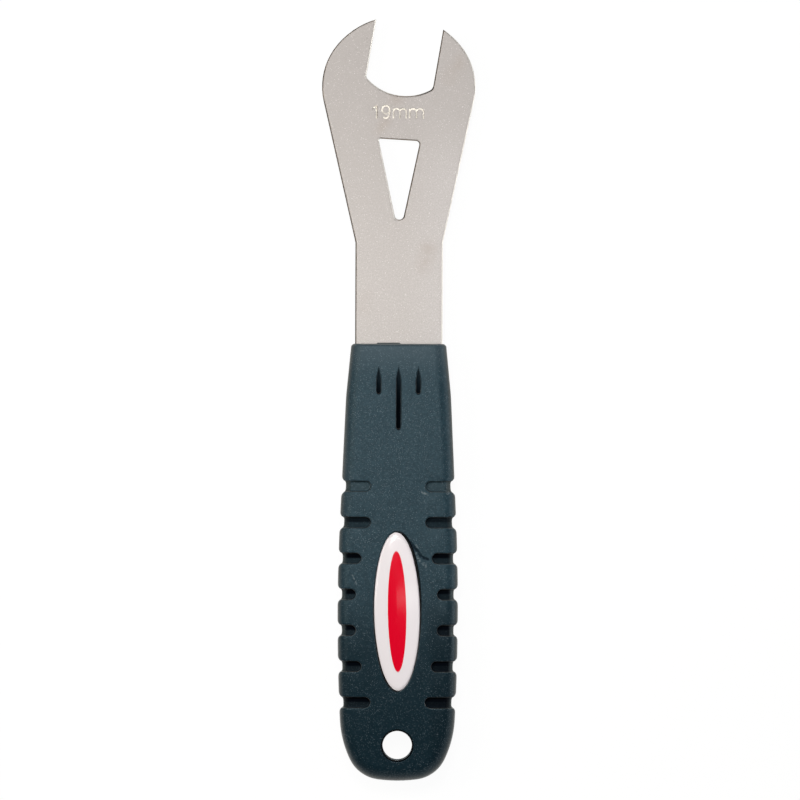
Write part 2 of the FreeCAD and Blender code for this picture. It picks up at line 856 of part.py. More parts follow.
def roll(name, reach, rise, length, turn):
    """A long round bar whose top falls by the rise at this reach to either side."""
    radius = (reach * reach + rise * rise) / (rise * 2)
    bar = doc.addObject("Part::Cylinder", name)
    bar.setExpression("Radius", radius.formula)
    bar.setExpression("Height", length.formula)
    low = size["badge_rim"] + rise - radius
    start = turn.multVec(Vector(0, 0, -length.value / 2))
    bar.Placement = Placement(start + Vector(0, 0, low.value), turn)
    return bar


def build_badge():
    """An oval with an upright rim and a top that rolls down to it lengthwise and across."""
    rise, long, wide = size["badge_dome"], size["badge_length"], size["badge_width"]
    block = oval("badge_block", long, wide, size["badge_rim"] + rise)
    across = roll("badge_roll_across", wide / 2, rise, long * 2, Rotation(Vector(1, 0, 0), 90))
    along = roll("badge_roll_along", long / 2, rise, wide * 2, Rotation(Vector(0, 1, 0), 90))
    badge = doc.addObject("Part::MultiCommon", "badge")
    badge.Shapes = [block, across, along]
    doc.recompute()
    badge.Placement = badge_place(size["recess_lean"] + size["badge_lean"])
    return badge


def build_recess():
    """The oval pocket for the badge, open to the top, with its clearance all round."""
    around = size["recess_clearance"] * 2
    deep = size["recess_depth"] * 2
    recess = oval("recess", size["badge_length"] + around, size["badge_width"] + around, deep)
    recess.Placement = badge_place(size["recess_lean"])
    return recess


def padded(name, outline, length):
    """A block of this length on an outline of its own."""
    body = new_body(name)
    pad(body, outline(body), name + "_block", length)
    return body


def build_grooves():
    grooves = padded("grooves", groove_outlines, tall)
    pocket_through(grooves, groove_ramp_outline(grooves), "ramps")
    return grooves


def build_grip(skin, floor, slots, grooves, hole, recess, flash, blade):
    """Mould the slots, grooves, hole and recess into the form, then take out the tang."""
    slotted = cut_away("slotted", skin, cut_away("slot_cuts", slots, floor))
    holed = cut_away("holed", slotted, hole)
    eased = broken_where("hole_edges", holed, skin, hole, size["hang_hole_edge"])
    groove_cuts = cut_away("groove_cuts", grooves, floor)
    moulded = cut_away("moulded", eased, groove_cuts, recess)
    grip = cut_away("grip_over_tang", joined("with_flash", moulded, flash), blade)
    grip.Label = "grip"
    return grip


def seat_of(blade, skin):
    """The move that puts the origin under the middle of the tool, on the sole's surface."""
    boxes = [piece.Shape.optimalBoundingBox(False, False) for piece in (blade, skin)]
    left, right = min(box.XMin for box in boxes), max(box.XMax for box in boxes)
    low, high = min(box.YMin for box in boxes), max(box.YMax for box in boxes)
    return Placement(Vector(-(left + right) / 2, -(low + high) / 2, -sole.value), Rotation())


def check(pieces):
    """Stop if any step failed, or if a piece isn't one sound solid."""
    for item in doc.Objects:
        if "Invalid" in item.State or "Error" in item.State:
            raise RuntimeError("%s failed: %s" % (item.Label, item.State))
    for piece in pieces:
        shape = piece.Shape
        if shape.isNull() or not shape.isValid() or len(shape.Solids) != 1:
            raise RuntimeError("%s is not one sound solid" % piece.Label)


blade = build_blade()
skin = build_skin()
floor = build_relief_floor()
slots = padded("slots", slot_outlines, tall)
grooves = build_grooves()
hole = padded("hang_hole", hang_hole_outline, tall)
flash = padded("flash", flash_outline, size["flash_reach"] * 2)
recess = build_recess()
badge = build_badge()

seat = seat_of(blade, skin)
for piece in (blade, skin, floor, slots, grooves, hole, flash, recess, badge):
    piece.Placement = seat.multiply(piece.Placement)
doc.recompute()
grip = build_grip(skin, floor, slots, grooves, hole, recess, flash, blade)

pieces = (blade, grip, badge)
check(pieces)
os.makedirs("parts", exist_ok=True)
for piece in pieces:
    piece.Shape.exportStep("parts/%s.step" % piece.Label)
    print(piece.Label, "volume %.1f mm3" % piece.Shape.Volume)
print("moved by", seat.Base)
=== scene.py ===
# %% [markdown]
# A cone wrench, seen from straight above. The steel, the rubber grip and the badge come from
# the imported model, in metres, lying on its back with the jaw towards +Y. This file gives them
# their finishes and the small forms that a solid model leaves out, and then lights them.

import math

import bpy
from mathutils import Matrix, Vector


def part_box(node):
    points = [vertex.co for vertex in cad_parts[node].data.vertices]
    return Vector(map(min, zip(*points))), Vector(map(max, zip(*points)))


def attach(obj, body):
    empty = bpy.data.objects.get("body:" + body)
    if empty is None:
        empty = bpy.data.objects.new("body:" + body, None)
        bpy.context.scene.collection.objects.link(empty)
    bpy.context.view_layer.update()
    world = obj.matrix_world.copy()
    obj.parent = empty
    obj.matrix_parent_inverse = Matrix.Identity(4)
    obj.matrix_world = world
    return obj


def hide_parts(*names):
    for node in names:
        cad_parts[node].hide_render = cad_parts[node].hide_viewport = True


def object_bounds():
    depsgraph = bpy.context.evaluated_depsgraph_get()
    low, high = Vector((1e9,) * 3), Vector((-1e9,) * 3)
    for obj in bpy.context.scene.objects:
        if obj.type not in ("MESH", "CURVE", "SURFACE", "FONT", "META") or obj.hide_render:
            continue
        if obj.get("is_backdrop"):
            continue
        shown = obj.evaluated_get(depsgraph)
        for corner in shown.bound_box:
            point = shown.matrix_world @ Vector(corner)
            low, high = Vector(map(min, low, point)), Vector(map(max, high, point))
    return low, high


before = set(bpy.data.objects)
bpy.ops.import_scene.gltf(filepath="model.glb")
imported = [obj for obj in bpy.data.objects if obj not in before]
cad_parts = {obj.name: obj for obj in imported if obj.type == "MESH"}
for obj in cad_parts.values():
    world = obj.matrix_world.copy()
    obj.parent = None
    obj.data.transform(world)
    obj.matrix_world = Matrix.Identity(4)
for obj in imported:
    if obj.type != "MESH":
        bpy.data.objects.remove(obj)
cad_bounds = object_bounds()
for name in sorted(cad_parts):
    low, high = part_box(name)
    print(name, "size in mm", [round((b - a) * 1000, 1) for a, b in zip(low, high)])

# %% [markdown]
# Everything below is written in millimetres where that reads better, because the real tool is
# measured in them. Small helpers keep the selection tidy: an operator acts on all that is
# selected, so each piece is picked alone before it is shaped.

# %% Millimetres and picking
MM = 0.001


def mm(*values):
    return tuple(value * MM for value in values)


def pick(piece):
    """Select one object alone and make it the active one."""
    if bpy.context.object and bpy.context.object.mode != "OBJECT":
        bpy.ops.object.mode_set(mode="OBJECT")
    bpy.ops.object.select_all(action="DESELECT")
    piece.select_set(True)
    bpy.context.view_layer.objects.active = piece


def settle(piece):
    """Put a finished piece's place into its mesh, so that its object sits at the origin."""
    pick(piece)
    bpy.ops.object.transform_apply(location=True, rotation=True, scale=True)


def copy_of(node, name):
    """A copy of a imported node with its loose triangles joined, ready to be shaped."""
    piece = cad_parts[node].copy()
    piece.data = piece.data.copy()
    piece.name = name
    piece.parent = None
    for key in list(piece.keys()):
        del piece[key]
    bpy.context.scene.collection.objects.link(piece)
    pick(piece)
    bpy.ops.object.mode_set(mode="EDIT")
    bpy.ops.mesh.select_all(action="SELECT")
    bpy.ops.mesh.remove_doubles(threshold=0.002 * MM)
    bpy.ops.object.mode_set(mode="OBJECT")
    print(name, "has", len(piece.data.polygons), "faces")
    return piece


# %% [markdown]
# The size mark is stamped into the head, a little above the window. Letters from a font would
# be too bold for it, so each character is drawn as the stamp was made: as lines of one width.
# The lines are listed in the order in which they are cut, the letters first.

# %% Lines of the size mark
MARK_FOOT = 79.3
LETTER_TOP = 82.0
SHOULDER_RISE = 0.85


def bow(middle, across, up, first, last, steps=10):
    """Points on an ellipse from one angle to another, both in degrees."""
    turns = [math.radians(first + (last - first) * k / steps) for k in range(steps + 1)]
    return [(middle[0] + across * math.cos(a), middle[1] + up * math.sin(a)) for a in turns]


def letter_m(left, right):
    """Three stems with two round shoulders between them."""
    half = (right - left) / 4
    shoulder = LETTER_TOP - SHOULDER_RISE
    lines = [[(left, MARK_FOOT), (left, LETTER_TOP)]]
    for start in (left, left + 2 * half):
        crown = bow((start + half, shoulder), half, SHOULDER_RISE, 180, 0)
        lines.append(crown + [(start + 2 * half, MARK_FOOT)])
    return lines


loop_of_nine = bow((-3.65, 81.7), 1.08, 1.15, 0, 360, 20)
loop_of_nine[-1] = loop_of_nine[0]
tail_of_nine = [(-2.57, 81.7)] + bow((-3.65, 81.2), 1.08, 1.9, 0, -125, 10)
stem_of_one = [(-6.25, 82.95), (-6.25, MARK_FOOT)]
flag_of_one = [(-7.5, 82.0), (-6.95, 82.3), (-6.4, 82.75)]
mark_lines = letter_m(-1.52, 2.1) + letter_m(3.07, 6.92)
mark_lines += [loop_of_nine, tail_of_nine, stem_of_one, flag_of_one]
print(len(mark_lines), "lines in the size mark")

# %% [markdown]
# Each line becomes a rod: a curve with a round profile, made a mesh, whose middle lies a little
# above the steel. A Boolean modifier takes the rod away from a copy of the blade and leaves a
# shallow groove with a round floor. The rods are cut one at a time, and a line that ends where
# it starts is closed into a ring, so that its ends don't overlap.

# %% Stamp the mark
STROKE_RADIUS = 0.25
STROKE_LIFT = 0.1
steel_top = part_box("blade")[1][2] / MM


def stamp(points):
    """A rod with closed ends along the points, lying just above the steel's top face."""
    curve = bpy.data.curves.new("stamp", "CURVE")
    curve.dimensions = "3D"
    curve.bevel_depth = STROKE_RADIUS * MM
    curve.bevel_resolution = 3
    curve.use_fill_caps = True
    spline = curve.splines.new("POLY")
    spline.use_cyclic_u = points[0] == points[-1]
    if spline.use_cyclic_u:
        points = points[:-1]
    spline.points.add(len(points) - 1)
    for point, (x, y) in zip(spline.points, points):
        point.co = (*mm(x, y, steel_top + STROKE_LIFT), 1)
    rod = bpy.data.objects.new("stamp", curve)
    bpy.context.scene.collection.objects.link(rod)
    pick(rod)
    bpy.ops.object.convert(target="MESH")
    rod = bpy.context.object
    bpy.ops.object.mode_set(mode="EDIT")
    bpy.ops.mesh.select_all(action="SELECT")
    bpy.ops.mesh.remove_doubles(threshold=0.001 * MM)
    bpy.ops.mesh.normals_make_consistent(inside=False)
    bpy.ops.object.mode_set(mode="OBJECT")
    return rod


blade = copy_of("blade", "marked_blade")
for points in mark_lines:
    rod = stamp(points)
    cut = blade.modifiers.new("mark", "BOOLEAN")
    cut.operation = "DIFFERENCE"
    cut.solver = "EXACT"
    cut.object = rod
    pick(blade)
    bpy.ops.object.modifier_apply(modifier=cut.name)
    bpy.data.objects.remove(rod)
    print("cut one line, the blade has", len(blade.data.polygons), "faces")
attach(blade, "root")
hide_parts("blade")

# %% [markdown]
# The blade's edges were broken by tumbling, so they catch the light as a thin soft line. Smooth
# shading averages the faces round each point, which would bend the light on the big flats, so
# the average is weighted by area: a flat keeps its own direction and only the narrow faces
# beside it are shaded round. Before that, the triangles of each flat are joined into one face.

# %% Smooth shading
FLAT_ANGLE = 0.2
BLADE_SMOOTH_ANGLE = 50


def shade(piece, limit):
    """Shade a piece smooth, but for edges sharper than the limit, and keep its flats flat."""
    pick(piece)
    bpy.ops.object.shade_smooth_by_angle(angle=math.radians(limit), keep_sharp_edges=False)
    weighted = piece.modifiers.new("flats first", "WEIGHTED_NORMAL")
    weighted.mode = "FACE_AREA"
    weighted.weight = 100
    weighted.keep_sharp = True
    bpy.ops.object.modifier_apply(modifier=weighted.name)


pick(blade)
bpy.ops.object.mode_set(mode="EDIT")
bpy.ops.mesh.select_all(action="SELECT")
bpy.ops.mesh.dissolve_limited(angle_limit=math.radians(FLAT_ANGLE))
bpy.ops.object.mode_set(mode="OBJECT")
shade(blade, BLADE_SMOOTH_ANGLE)
print("marked blade has", len(blade.data.polygons), "faces after joining its flats")

# %% [markdown]
# The grip is moulded rubber, so no corner on it is sharp: every slot mouth is a soft lip. A
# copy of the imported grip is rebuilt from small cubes, which gives it an even skin that can be
# relaxed in the next step. The solid's own long thin triangles would crumple there.

# %% Skin of the grip
SKIN_CELL = 0.24
grip = copy_of("grip", "soft_grip")
skin = grip.modifiers.new("skin", "REMESH")
skin.mode = "VOXEL"
skin.voxel_size = SKIN_CELL * MM
bpy.ops.object.modifier_apply(modifier=skin.name)
print("skin has", len(grip.data.polygons), "faces")

# %% [markdown]
# The skin is relaxed once all over, as a stiff paste would be, which rounds its lips. The side
# walls below the lips are relaxed many times more, until they run smooth. The flats then hold
# far more points than they need, so the mesh is thinned out again.

# %% Soft lips
KEPT_SHARE = 0.22


def everywhere(x, y, z):
    return True


def side_walls(x, y, z):
    """The lower part of both sides, behind the shoulder; all in millimetres."""
    return z < 9.6 and abs(x) > 12.5 and y < -18


def relax(piece, chosen, rounds):
    """Even out the points that `chosen` accepts, given their place in millimetres."""
    pick(piece)
    bpy.ops.object.mode_set(mode="EDIT")
    bpy.ops.mesh.select_mode(type="VERT")
    bpy.ops.mesh.select_all(action="DESELECT")
    bpy.ops.object.mode_set(mode="OBJECT")
    for point in piece.data.vertices:
        point.select = chosen(*(value / MM for value in point.co))
    bpy.ops.object.mode_set(mode="EDIT")
    bpy.ops.mesh.vertices_smooth(factor=0.5, repeat=rounds)
    bpy.ops.object.mode_set(mode="OBJECT")


relax(grip, everywhere, rounds=1)
relax(grip, side_walls, rounds=14)
thin = grip.modifiers.new("thin", "DECIMATE")
thin.ratio = KEPT_SHARE
bpy.ops.object.modifier_apply(modifier=thin.name)
bpy.ops.object.shade_smooth()
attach(grip, "root")
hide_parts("grip")
print("soft grip has", len(grip.data.polygons), "faces")

# %% [markdown]
# The badge is a clear-coated oval with a dome like a drop of resin: highest in the middle,
# falling evenly to a soft rim all round. A round disc of rings, stretched to the oval and
# lifted ring by ring, gives that surface with no seams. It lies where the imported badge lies,
# and its foot is drawn down to the same level.

# %% Badge
BADGE_HALF = (6.45, 22.25)
BADGE_LEAN = math.radians(1.0)
BADGE_SMOOTH_ANGLE = 40
RIM_HEIGHT = 0.75
DOME_HEIGHT = 0.9
RING_STEPS = (0.02, 0.03, 0.07, 0.12, 0.16, 0.2, 0.2)
SOFT_RIM = 0.05
RIM_DROP = 0.35
badge_low, badge_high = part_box("badge")
badge_middle = [(a + b) / 2 for a, b in zip(badge_low, badge_high)]


def domed_badge():
    """A disc of rings shaped to the badge's dome, closed with a straight wall and a foot."""
    bpy.ops.object.select_all(action="DESELECT")
    bpy.ops.mesh.primitive_circle_add(
        vertices=96, radius=1, fill_type="NGON", location=(0, 0, 0)
    )
    disc = bpy.context.object
    disc.name = "domed_badge"
    bpy.ops.object.mode_set(mode="EDIT")
    bpy.ops.mesh.select_all(action="SELECT")
    for step in RING_STEPS:
        bpy.ops.mesh.inset(thickness=step, depth=0)
    bpy.ops.mesh.poke()
    bpy.ops.object.mode_set(mode="OBJECT")
    across, along = BADGE_HALF
    for point in disc.data.vertices:
        reach = min(1.0, math.hypot(point.co.x, point.co.y))
        bulge = 1 - reach ** 2
        rim = 1 - max(0.0, (reach - (1 - SOFT_RIM)) / SOFT_RIM) ** 2 * RIM_DROP
        point.co.z = (RIM_HEIGHT * rim + DOME_HEIGHT * bulge) * MM
        point.co.x *= across * MM
        point.co.y *= along * MM
    pick(disc)
    bpy.ops.object.mode_set(mode="EDIT")
    bpy.ops.mesh.select_mode(type="EDGE")
    bpy.ops.mesh.select_all(action="DESELECT")
    bpy.ops.mesh.select_non_manifold()
    bpy.ops.mesh.extrude_region_move()
    bpy.ops.transform.resize(value=(1, 1, 0), center_override=(0, 0, 0))
    bpy.ops.mesh.edge_face_add()
    bpy.ops.mesh.select_all(action="SELECT")
    bpy.ops.mesh.normals_make_consistent(inside=False)
    bpy.ops.object.mode_set(mode="OBJECT")
    disc.rotation_euler = (0, 0, BADGE_LEAN)
    disc.location = (badge_middle[0], badge_middle[1], badge_low[2])
    settle(disc)
    return disc


badge = domed_badge()
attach(badge, "root")
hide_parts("badge")
shade(badge, BADGE_SMOOTH_ANGLE)
print("badge top at", round(max(v.co.z for v in badge.data.vertices) / MM, 2), "mm")

# %% [markdown]
# Materials are made of nodes, and three small steps come back all the time: a sum of numbers
# or sockets, a value mapped from one range to another, and a node group with named inputs.

# %% Node helpers
def math_node(tree, operation, *values):
    """A Math node whose inputs are numbers or other sockets."""
    node = tree.nodes.new("ShaderNodeMath")
    node.operation = operation
    for slot_number, value in enumerate(values):
        if hasattr(value, "is_output"):
            tree.links.new(value, node.inputs[slot_number])
        else:
            node.inputs[slot_number].default_value = value
    return node.outputs[0]


def ramp_node(tree, value, low, high, bottom=0.0, top=1.0, smooth=True):
    """Map a value from low..high to bottom..top, held at both ends."""
    node = tree.nodes.new("ShaderNodeMapRange")
    node.interpolation_type = "SMOOTHSTEP" if smooth else "LINEAR"
    node.inputs["From Min"].default_value = low
    node.inputs["From Max"].default_value = high
    node.inputs["To Min"].default_value = bottom
    node.inputs["To Max"].default_value = top
    tree.links.new(value, node.inputs["Value"])
    return node.outputs["Result"]


def new_group(name, inputs, outputs):
    """An empty shader group, with its start and end nodes."""
    group = bpy.data.node_groups.new(name, "ShaderNodeTree")
    for label, kind, value in inputs:
        socket = group.interface.new_socket(name=label, in_out="INPUT", socket_type=kind)
        socket.default_value = value
    for label, kind in outputs:
        group.interface.new_socket(name=label, in_out="OUTPUT", socket_type=kind)
    start = group.nodes.new("NodeGroupInput")
    end = group.nodes.new("NodeGroupOutput")
    return group, start, end


# %% [markdown]
# Steel and rubber share a fine grain of bright specks. A cell pattern gives each small cell a
# random colour: one channel picks the cells that hold a speck, another gives its strength.

# %% Specks
def specks_group():
    """Small scattered dots: each cell of a pattern may hold one, of its own strength."""
    group, start, end = new_group(
        "specks",
        [
            ("Vector", "NodeSocketVector", (0, 0, 0)),
            ("Scale", "NodeSocketFloat", 3000.0),
            ("Share", "NodeSocketFloat", 0.2),
            ("Size", "NodeSocketFloat", 0.35),
        ],
        [("Mask", "NodeSocketFloat")],
    )
    cells = group.nodes.new("ShaderNodeTexVoronoi")
    group.links.new(start.outputs["Vector"], cells.inputs["Vector"])
    group.links.new(start.outputs["Scale"], cells.inputs["Scale"])
    split = group.nodes.new("ShaderNodeSeparateColor")
    group.links.new(cells.outputs["Color"], split.inputs[0])
    chosen = math_node(group, "LESS_THAN", split.outputs[0], start.outputs["Share"])
    near = math_node(group, "DIVIDE", cells.outputs["Distance"], start.outputs["Size"])
    dot = math_node(group, "SUBTRACT", 1.0, near)
    dot = math_node(group, "MAXIMUM", dot, 0.0)
    dot = math_node(group, "MULTIPLY", dot, chosen)
    dot = math_node(group, "MULTIPLY", dot, split.outputs[1])
    group.links.new(dot, end.inputs["Mask"])
    return group


SPECKS = specks_group()
print("group", SPECKS.name, "has", len(SPECKS.nodes), "nodes")

# %% [markdown]
# Stains, scuffs and creases are soft strokes between two points. The nearest place on the
# stroke is found as on paper: the share of the way along it, held between 0 and 1.

# %% Strokes
def stroke_group():
    """How near a point is, seen from above, to a stroke: 1 on it and 0 beyond Width."""
    group, start, end = new_group(
        "stroke",
        [
            ("Vector", "NodeSocketVector", (0, 0, 0)),
            ("Start", "NodeSocketVector", (0, 0, 0)),
            ("End", "NodeSocketVector", (0, 0.01, 0)),
            ("Width", "NodeSocketFloat", 0.001),
        ],
        [("Mask", "NodeSocketFloat")],
    )

    def vector_node(operation, a, b):
        node = group.nodes.new("ShaderNodeVectorMath")
        node.operation = operation
        group.links.new(a, node.inputs[0])
        group.links.new(b, node.inputs[1])
        return node

    run = vector_node("SUBTRACT", start.outputs["End"], start.outputs["Start"])
    run = run.outputs["Vector"]
    flat = group.nodes.new("ShaderNodeVectorMath")
    flat.operation = "MULTIPLY"
    flat.inputs[1].default_value = (1, 1, 0)
    group.links.new(start.outputs["Vector"], flat.inputs[0])
    here = vector_node("SUBTRACT", flat.outputs["Vector"], start.outputs["Start"])
    here = here.outputs["Vector"]
    along = vector_node("DOT_PRODUCT", here, run).outputs["Value"]
    whole = vector_node("DOT_PRODUCT", run, run).outputs["Value"]
    share = math_node(group, "DIVIDE", along, whole)
    share = math_node(group, "MAXIMUM", share, 0.0)
    share = math_node(group, "MINIMUM", share, 1.0)
    part = group.nodes.new("ShaderNodeVectorMath")
    part.operation = "SCALE"
    group.links.new(run, part.inputs[0])
    group.links.new(share, part.inputs["Scale"])
    away = vector_node("DISTANCE", here, part.outputs["Vector"]).outputs["Value"]
    near = math_node(group, "DIVIDE", away, start.outputs["Width"])
    near = math_node(group, "SUBTRACT", 1.0, near)
    near = math_node(group, "MAXIMUM", near, 0.0)
    near = math_node(group, "SMOOTH_MIN", near, 1.0, 0.1)
    group.links.new(near, end.inputs["Mask"])
    return group


STROKE = stroke_group()
print("group", STROKE.name, "has", len(STROKE.nodes), "nodes")

# %% [markdown]
# A small class keeps each material readable: it starts from one Principled shader and offers
# the steps that the three finishes share. Patterns read Object coordinates, which are metres
# on the tool, so a grain keeps its real size.

# %% Material helper
class Finish:
    def __init__(self, name, colour, roughness, metallic=0.0):
        self.material = bpy.data.materials.new(name)
        self.material.use_nodes = True
        self.tree = self.material.node_tree
        self.shader = self.tree.nodes["Principled BSDF"]
        self.hold("Base Color", (*colour, 1))
        self.hold("Roughness", roughness)
        self.hold("Metallic", metallic)
        self.place = self.tree.nodes.new("ShaderNodeTexCoord").outputs["Object"]

    def hold(self, label, value):
        """Set one of the shader's sockets to the same value all over."""
        self.shader.inputs[label].default_value = value

    def feed(self, label, value):
        """Let a mask, a colour or a normal drive one of the shader's sockets."""
        self.tree.links.new(value, self.shader.inputs[label])

    def math(self, operation, *values):
        return math_node(self.tree, operation, *values)

    def ramp(self, value, low, high, bottom=0.0, top=1.0, smooth=True):
        return ramp_node(self.tree, value, low, high, bottom, top, smooth)

    def product(self, first, *others):
        """Masks multiplied: strong only where all of them are."""
        for other in others:
            first = self.math("MULTIPLY", first, other)
        return first

    def strongest(self, first, *others):
        """The highest of several masks, so that marks overlap and don't add up."""
        for other in others:
            first = self.math("MAXIMUM", first, other)
        return first

    def millimetres(self):
        """The three coordinates of the point that is shaded, in millimetres."""
        axes = self.tree.nodes.new("ShaderNodeSeparateXYZ")
        self.tree.links.new(self.place, axes.inputs[0])
        return [self.math("MULTIPLY", axis, 1 / MM) for axis in axes.outputs]

    def noise(self, scale, detail=2.0, roughness=0.5):
        node = self.tree.nodes.new("ShaderNodeTexNoise")
        node.inputs["Scale"].default_value = scale
        node.inputs["Detail"].default_value = detail
        node.inputs["Roughness"].default_value = roughness
        self.tree.links.new(self.place, node.inputs["Vector"])
        return node.outputs["Fac"]

    def group(self, tree_group, **inputs):
        node = self.tree.nodes.new("ShaderNodeGroup")
        node.node_tree = tree_group
        self.tree.links.new(self.place, node.inputs["Vector"])
        for label, value in inputs.items():
            node.inputs[label].default_value = value
        return node.outputs[0]

    def stroke(self, start, end, width):
        """A stroke between two points seen from above, all in millimetres."""
        return self.group(STROKE, Start=mm(*start, 0), End=mm(*end, 0), Width=width * MM)

    def mix(self, mask, first, second):
        """first where the mask is 0 and second where it is 1; each a colour or a socket."""
        node = self.tree.nodes.new("ShaderNodeMix")
        node.data_type = "RGBA"
        self.tree.links.new(mask, node.inputs["Factor"])
        colours = [item for item in node.inputs if item.type == "RGBA"]
        for socket, value in zip(colours, (first, second)):
            if hasattr(value, "is_output"):
                self.tree.links.new(value, socket)
            else:
                socket.default_value = (*value, 1)
        return [item for item in node.outputs if item.type == "RGBA"][0]

    def bump(self, height, distance, strength=1.0, normal=None):
        node = self.tree.nodes.new("ShaderNodeBump")
        node.inputs["Strength"].default_value = strength
        node.inputs["Distance"].default_value = distance
        self.tree.links.new(height, node.inputs["Height"])
        if normal is not None:
            self.tree.links.new(normal, node.inputs["Normal"])
        return node.outputs["Normal"]

    def dress(self, piece):
        piece.data.materials.clear()
        piece.data.materials.append(self.material)
        print(piece.name, "wears", self.material.name, "of", len(self.tree.nodes), "nodes")


# %% [markdown]
# The steel was bead blasted and nickel plated: a warm satin grey with no direction to it. Painted
# shade makes the head darker than the shank, and painted light makes its right side paler. Two
# plain colours are mixed along the tool, and a fine noise breaks them up.

# %% Plated steel
SHANK_GREY = (0.39, 0.37, 0.357)
HEAD_SHADE_GREY = (0.318, 0.3, 0.289)
RIGHT_LIGHT_GREY = (0.43, 0.412, 0.408)
GRAIN_GREY = (0.24, 0.226, 0.215)
STEEL_ROUGHNESS = 0.66
steel = Finish("plated_steel", SHANK_GREY, STEEL_ROUGHNESS, metallic=1.0)
x_steel, y_steel, z_steel = steel.millimetres()
# Painted shade: the head is darker than the shank.
head_shade = steel.ramp(y_steel, 18.0, 95.0)
steel_colour = steel.mix(head_shade, SHANK_GREY, HEAD_SHADE_GREY)
# Painted light: the right side is paler, the shank more than the head.
right_light = steel.ramp(x_steel, 0.0, 14.0)
right_light = steel.product(right_light, steel.ramp(y_steel, 60.0, 85.0, 0.4, 0.1))
steel_colour = steel.mix(right_light, steel_colour, RIGHT_LIGHT_GREY)
grain = steel.ramp(steel.noise(2600, 3.0, 0.7), 0.35, 0.65)
steel_colour = steel.mix(steel.product(grain, 0.3), steel_colour, GRAIN_GREY)

# %% [markdown]
# A few faint warm stains lie on the head and the shank, each a wide soft stroke that a slow
# noise makes uneven. Over them come painted glints, as on a blasted skin where a crater faces
# the light: bright specks in the colour, far smaller than the stains.

# %% Stains and sparkle
STEEL_STAINS = (
    ((-0.8, 84.5), (0.2, 86.0), 3.2, 0.35),
    ((-5.5, 76.0), (-3.6, 78.5), 2.4, 0.4),
    ((14.5, 91.0), (17.5, 95.5), 3.4, 0.3),
    ((7.2, 38.0), (8.6, 43.0), 3.4, 0.4),
    ((-9.5, 26.0), (-9.0, 29.0), 3.0, 0.2),
)
stains = [
    steel.product(steel.stroke(start, end, width), strength)
    for start, end, width, strength in STEEL_STAINS
]
uneven = steel.ramp(steel.noise(250, 3.0), 0.25, 0.7, 0.3, 1.0)
stain = steel.product(steel.strongest(*stains), uneven)
steel_colour = steel.mix(stain, steel_colour, (0.27, 0.232, 0.2))
# Painted glints: bright specks mixed into the colour.
painted_glints = steel.group(SPECKS, Scale=4800.0, Share=0.12, Size=0.5)
steel_colour = steel.mix(steel.product(painted_glints, 0.7), steel_colour, (0.97, 0.95, 0.92))
print(len(stains), "stains on the steel")

# %% [markdown]
# What lies below the top face is either a cut edge or the mark, and the mark's band along the
# tool tells the two apart. The cut edges are smoother and carry a brown painted shade. The mark's
# grooves are a little smoother too, painted dark half way up the characters as painted shade and
# pale at their ends as painted highlights.

# %% Cut edges and the mark
EDGE_SHADE_BROWN = (0.3, 0.25, 0.2)
MARK_SHADE = (0.3, 0.282, 0.25)
MARK_HIGHLIGHT = (0.42, 0.395, 0.345)
MARK_MIDDLE = 80.6
below = steel.ramp(z_steel, 6.40, 6.49, 1.0, 0.0)
in_mark = steel.ramp(y_steel, 78.0, 78.2)
in_mark = steel.product(in_mark, steel.ramp(y_steel, 83.8, 84.0, 1.0, 0.0))
cut_edge = steel.product(below, steel.math("SUBTRACT", 1.0, in_mark))
# Painted shade: a brown line along the cut edges.
steel_colour = steel.mix(cut_edge, steel_colour, EDGE_SHADE_BROWN)
stamped = steel.product(below, in_mark)
from_middle = steel.math("ABSOLUTE", steel.math("SUBTRACT", y_steel, MARK_MIDDLE))
# Painted shade half way up the characters, painted highlights at their ends.
stamp_colour = steel.mix(steel.ramp(from_middle, 0.4, 1.2), MARK_SHADE, MARK_HIGHLIGHT)
steel_colour = steel.mix(stamped, steel_colour, stamp_colour)
smoother = steel.math("ADD", steel.product(cut_edge, 0.3), steel.product(stamped, 0.14))
steel.feed("Roughness", steel.math("SUBTRACT", STEEL_ROUGHNESS, smoother))

# %% [markdown]
# Tumbling rounded the edges further than the solid's small breaks do. A Bevel node gives the
# normal that such a rounding would have, within three quarters of a millimetre of any edge.
# Its sideways lean also tells the two sides of the tool apart: the edges towards -X are painted
# dark as painted shade, and those towards +X are painted bright as a painted highlight.

# %% Steel edges
ROUNDED_WIDTH = 0.75
LEFT_EDGE_SHADE = (0.045, 0.036, 0.028)
RIGHT_EDGE_HIGHLIGHT = (0.8, 0.78, 0.74)
rounding = steel.tree.nodes.new("ShaderNodeBevel")
rounding.samples = 16
rounding.inputs["Radius"].default_value = ROUNDED_WIDTH * MM
lean = steel.tree.nodes.new("ShaderNodeSeparateXYZ")
steel.tree.links.new(rounding.outputs["Normal"], lean.inputs[0])
# Painted shade on edges leaning towards -X, painted highlights on those towards +X.
shaded_edges = steel.ramp(lean.outputs[0], -0.32, -0.08, 0.88, 0.0)
lit_edges = steel.ramp(lean.outputs[0], 0.1, 0.35, 0.0, 0.6)
steel_colour = steel.mix(shaded_edges, steel_colour, LEFT_EDGE_SHADE)
steel_colour = steel.mix(lit_edges, steel_colour, RIGHT_EDGE_HIGHLIGHT)
steel.feed("Base Color", steel_colour)
craters = steel.noise(2400, 2.0, 0.6)
steel.feed("Normal", steel.bump(craters, 0.02 * MM, 0.5, normal=rounding.outputs["Normal"]))
steel.dress(blade)

# %% [markdown]
# The grip is a soft rubber compound, dark slate with a hint of blue-green. The hand meets a top
# that is a little crowned. A very wide bump gives the light of that: from the middle of the
# grip to the tail, the surface seems to fall away in one long arc.

